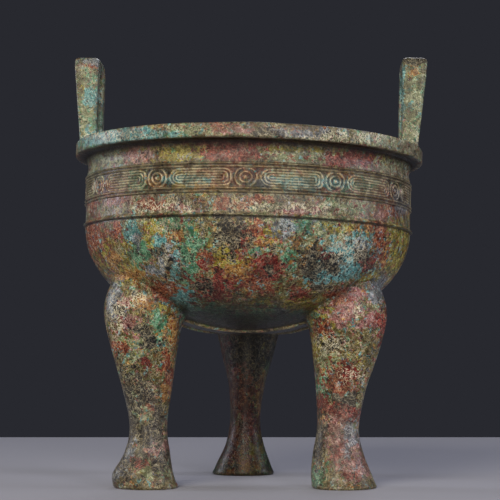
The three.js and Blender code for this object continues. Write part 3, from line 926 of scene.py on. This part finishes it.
def add(kind, sockets=None, output=0, **settings):
    """Adds one node with its settings; each socket gets a value, or a link from another node's output."""
    made = nodes.new(kind)
    for name, value in settings.items():
        setattr(made, name, value)
    for name, value in (sockets or {}).items():
        if isinstance(value, bpy.types.NodeSocket):
            links.new(value, made.inputs[name])
        else:
            made.inputs[name].default_value = value
    return made.outputs[output] if output is not None else made


place = add("ShaderNodeTexCoord", output="Object")

# %% [markdown]
# Two patterns make the grain of all coats. Specks are the high or low spots of a noise. Threads follow the
# line where a noise has its middle value, which curls about as lime does in a crazed surface. Real specks and
# threads are 0.2 to 0.5 mm wide. They are drawn at about 1 mm, so that they show in the picture.

# %% Specks and threads
def specks(size_mm, detail, seed, low, high, top=1.0):
    """A noise of a given size, cut softly between two levels: 0 below low and top above high."""
    noise = add(NOISE, {"Vector": place, "W": seed, "Scale": 1 / (size_mm * MM), "Detail": detail,
                        "Roughness": 0.6, "Distortion": 1.0}, noise_dimensions="4D")
    return add(RANGE, {"Value": noise, "From Min": low, "From Max": high, "To Max": top})


def threads(size_mm, seed, half_width, top=1.0):
    """Curly lines where a noise is near its middle value; half_width is in the noise's own units."""
    noise = add(NOISE, {"Vector": place, "W": seed, "Scale": 1 / (size_mm * MM), "Detail": 2.0,
                        "Roughness": 0.5, "Distortion": 1.2}, noise_dimensions="4D")
    level = add(MATH, {0: noise, 1: 0.5}, operation="SUBTRACT")
    away = add(MATH, {0: level}, operation="ABSOLUTE")
    return add(RANGE, {"Value": away, "From Min": half_width, "From Max": half_width / 2, "To Max": top})


pits = specks(size_mm=2.6, detail=2.0, seed=1.0, low=0.45, high=0.38, top=0.9)
light_specks = specks(size_mm=1.8, detail=2.0, seed=2.0, low=0.59, high=0.67, top=0.55)
light_threads = threads(size_mm=3.4, seed=3.0, half_width=0.03, top=0.7)
flecks = add(MATH, {0: light_specks, 1: light_threads}, operation="MAXIMUM")
cloud = specks(size_mm=9.0, detail=3.0, seed=4.0, low=0.40, high=0.60)
print("grain nodes:", len(nodes))

# %% [markdown]
# Under everything lies the brown of the heated metal, a little greyer on the wall above the cord. Ten coats
# follow. Each has a colour for its pits, its body and its flecks, and it shows where its stored number, moved
# up and down by a coarse and a fine noise, passes about one half: that gives a patch its ragged edge.

# %% Coats of the patina
COATS = {
    # pits, body, flecks, and how much of the coat shows where it lies
    "sage": ("#28321f", "#748159", "#cdd2ab", 0.9),
    "olive": ("#262405", "#857a1c", "#d6c95e", 0.92),
    "jade": ("#0a261c", "#3c7f5b", "#a6d6b2", 0.92),
    "rose": ("#38161a", "#8f5355", "#e0bbb2", 0.88),
    "orange": ("#341a04", "#96601c", "#e6bd70", 0.9),
    "rust": ("#1e0802", "#76260e", "#cf9264", 0.95),
    "turquoise": ("#062830", "#469092", "#bcebe2", 0.92),
    "steel": ("#141d26", "#5f6c76", "#c8cfd6", 0.85),
    "oxblood": ("#150304", "#670e0c", "#c2604f", 0.95),
    "soot": ("#040405", "#0c0d12", "#aca180", 0.95),
}
SHAKES = [
    # size in mm, how far it moves the number, first seed, detail, roughness and twist
    (4.0, 2.1, 10.0, 3.0, 0.6, 0.5), (1.9, 1.0, 30.0, 1.0, 0.5, 1.0),
]
MIDDLE_LEVEL = sum(shake[1] for shake in SHAKES) / 2
STARTS, FULL = MIDDLE_LEVEL + 0.42, MIDDLE_LEVEL + 0.52
stored = {
    name: add("ShaderNodeAttribute", output="Fac", attribute_name=name)
    for name in [*COATS, "upper", "film", "lime", "crest", "recess", "underside"]
}


def coat(below, name, pit, body, light, strength, seed):
    """Lays one coat over what is below, where its stored number and two noises add up to enough."""
    ragged = stored[name]
    for size_mm, shake, first, detail, roughness, twist in SHAKES:
        noise = add(NOISE, {"Vector": place, "W": first + seed, "Scale": 1 / (size_mm * MM), "Detail": detail,
                            "Roughness": roughness, "Distortion": twist}, noise_dimensions="4D")
        ragged = add(MATH, {0: noise, 1: shake, 2: ragged}, operation="MULTIPLY_ADD")
    mask = add(RANGE, {"Value": ragged, "From Min": STARTS, "From Max": FULL, "To Max": strength})
    pitted = add(MIX, {"Factor": pits, BELOW: linear(body), ABOVE: linear(pit)}, MIXED, data_type="RGBA")
    own = add(MIX, {"Factor": flecks, BELOW: pitted, ABOVE: linear(light)}, MIXED, data_type="RGBA")
    return add(MIX, {"Factor": mask, BELOW: below, ABOVE: own}, MIXED, data_type="RGBA")


greyer = add(MATH, {0: stored["upper"], 1: cloud}, operation="MULTIPLY")
colour = linear("#5c5324")
for mask, tint in ((greyer, "#736b55"), (pits, "#1c1308"), (flecks, "#b8ab80")):
    colour = add(MIX, {"Factor": mask, BELOW: colour, ABOVE: linear(tint)}, MIXED, data_type="RGBA")
for seed, (name, look) in enumerate(COATS.items()):
    colour = coat(colour, name, *look, seed)
print("coats:", ", ".join(COATS))

# %% [markdown]
# Last come the things that lie on top of all coats: a thin grey film of dust on the wall, the ears and the
# feet, dark pores, a net of pale lime where the ground water left it, which at a few marks is a painted
# highlight, the rubbed crests, where pale salts and a trace of metal show, with a painted highlight along the
# seams, and stains, dirt and painted shade in the recesses and painted shade under the bowl and on the back
# leg, which darken what is below them.

# %% Lime, dirt, painted light and shade, and wear
dusty = specks(size_mm=5.0, detail=3.0, seed=54.0, low=0.3, high=0.7)
porous = specks(size_mm=1.6, detail=1.0, seed=50.0, low=0.62, high=0.70, top=0.7)
rubbed = specks(size_mm=3.0, detail=2.0, seed=55.0, low=0.36, high=0.56, top=0.72)
stains = specks(size_mm=7.0, detail=2.0, seed=53.0, low=0.54, high=0.42, top=0.7)
lime_net = threads(size_mm=2.8, seed=52.0, half_width=0.04)
lime_cloud = add(NOISE, {"Vector": place, "W": 51.0, "Scale": 1 / (7.0 * MM), "Detail": 3.0},
                 noise_dimensions="4D")
# the lime number also carries a few painted highlights and the painted light on the lip, which this net draws
lime_and_highlight_level = add(MATH, {0: lime_cloud, 1: 1.4, 2: stored["lime"]}, operation="MULTIPLY_ADD")
lime_and_highlight_share = add(RANGE, {"Value": lime_and_highlight_level, "From Min": 1.0, "From Max": 1.4, "To Min": 0.15, "To Max": 0.9})
film = add(MATH, {0: stored["film"], 1: dusty}, operation="MULTIPLY")
pores = add(MATH, {0: porous, 1: cloud}, operation="MULTIPLY")
lime = add(MATH, {0: lime_net, 1: lime_and_highlight_share}, operation="MULTIPLY")
wear_and_highlight = add(MATH, {0: stored["crest"], 1: rubbed}, operation="MULTIPLY")
LAYERS = [
    # where the layer lies, its colour, and how it mixes with what is below
    (film, "#68625a", "MIX"), (pores, "#0c0806", "MIX"), (lime, "#ddd6b8", "MIX"), (wear_and_highlight, "#cabd98", "MIX"),
    # the recess layer is dirt and painted shade, and the underside layer is painted shade under the bowl and
    # on the back leg
    (stains, "#95897a", "MULTIPLY"), (stored["recess"], "#50401f", "MULTIPLY"),
    (stored["underside"], "#4e4b1c", "MULTIPLY"),
]
for mask, tint, blend in LAYERS:
    colour = add(MIX, {"Factor": mask, BELOW: colour, ABOVE: linear(tint)}, MIXED,
                 data_type="RGBA", blend_type=blend)
print("layers on the coats:", len(LAYERS))

# %% [markdown]
# The shader itself: the wax leaves a low sheen, a little broken by the crust. Specks stand up and pits go in
# by a tenth or two of a millimetre, which the bump gives. Only the rubbed crests are partly metal.

# %% Sheen and crust
raised = add(MATH, {0: pits, 1: -0.7, 2: flecks}, operation="MULTIPLY_ADD")
crust = add("ShaderNodeBump", {"Strength": 0.4, "Distance": 0.4 * MM, "Height": raised})
sheen = specks(size_mm=2.4, detail=2.0, seed=60.0, low=0.3, high=0.7)
roughness = add(RANGE, {"Value": sheen, "To Min": 0.27, "To Max": 0.46})
metal = add(MATH, {0: wear_and_highlight, 1: 0.35}, operation="MULTIPLY")
shader = add("ShaderNodeBsdfPrincipled", {"Base Color": colour, "Metallic": metal, "Roughness": roughness,
                                          "Specular IOR Level": 0.36, "Normal": crust})
add("ShaderNodeOutputMaterial", {"Surface": shader}, output=None)
casting.data.materials.clear()
casting.data.materials.append(bronze)
print("finish nodes:", len(nodes))

# %% [markdown]
# The studio: a plain pale floor, a metre wide and deep, with the vessel in its middle.

# %% Stage
FLOOR_HALF = 0.5
corners = [(x * FLOOR_HALF, y * FLOOR_HALF, 0) for x, y in ((-1, -1), (1, -1), (1, 1), (-1, 1))]
floor_mesh = bpy.data.meshes.new("studio_floor")
floor_mesh.from_pydata(corners, [], [(0, 1, 2, 3)])
floor = new_object("studio_floor", floor_mesh)
floor_finish = bpy.data.materials.new("matt_studio_paper")
floor_finish.use_nodes = True
paper = floor_finish.node_tree.nodes["Principled BSDF"].inputs
paper["Base Color"].default_value = linear("#a5a7b2")
paper["Roughness"].default_value = 0.8
floor.data.materials.append(floor_finish)
print("floor", 2 * FLOOR_HALF, "m wide")

# %% [markdown]
# The camera stands low in front, 72 mm above the soles and about level with the knees of the legs, and looks
# 4.4 degrees upwards through a long lens. Its numbers came from fitting the rim, the cord, the soles and the
# ears to their places in the picture.

# %% Camera
camera = new_object("camera", bpy.data.cameras.new("camera"))
camera.data.lens = LENS
camera.data.sensor_width = SENSOR
camera.location = CAMERA_PLACE
camera.rotation_euler = (math.pi / 2 + CAMERA_PITCH, 0, 0)
bpy.context.scene.camera = camera
print("camera at", CAMERA_PLACE)

# %% [markdown]
# Three softboxes stand in front: a large one high on the left, a smaller one on the right that draws the
# soft highlights on the legs, and a low one for the belly. One at each side and one behind are weaker and
# pick out the edges. The air of the studio is a dark slate, so the dark coats stay dark.

# %% Lights
MIDDLE = (0, 0, 0.14)
SOFTBOXES = {
    # place, target and side in metres, power in watts, colour
    "key_softbox": ((-0.5, -1.05, 0.85), MIDDLE, 0.6, 10.0, "#fff5e4"),
    "fill_softbox": ((0.62, -1.1, 0.42), MIDDLE, 0.35, 4.6, "#f6f3ff"),
    "low_softbox": ((-0.1, -1.4, 0.24), (0, 0, 0.13), 0.5, 5.5, "#fff5e4"),
    "left_rim_softbox": ((-1.1, 0.25, 0.4), MIDDLE, 0.4, 4, "#eef0ff"),
    "right_rim_softbox": ((1.15, -0.1, 0.5), MIDDLE, 0.4, 4, "#f4f4ff"),
    "back_softbox": ((0.2, 1.2, 1.1), MIDDLE, 0.6, 3.5, "#f4f4ff"),
}


def softbox(name, place, target, size, power, colour):
    """A square area light that faces a point: it tilts by the aim's angle from straight down."""
    light = bpy.data.lights.new(name, "AREA")
    light.size, light.energy, light.color = size, power, linear(colour)[:3]
    lamp = new_object(name, light)
    lamp.location = place
    aim = np.array(target) - np.array(place)
    tilt = math.acos(-aim[2] / np.linalg.norm(aim))
    lamp.rotation_euler = (tilt, 0, math.atan2(aim[1], aim[0]) - math.pi / 2)


for name, settings in SOFTBOXES.items():
    softbox(name, *settings)
world = bpy.data.worlds.new("studio_air")
world.use_nodes = True
air = world.node_tree.nodes["Background"].inputs
air["Color"].default_value = linear("#28292f")
air["Strength"].default_value = 1.0
bpy.context.scene.world = world
bpy.context.scene.view_settings.view_transform = "Standard"
print("lights:", ", ".join(SOFTBOXES))
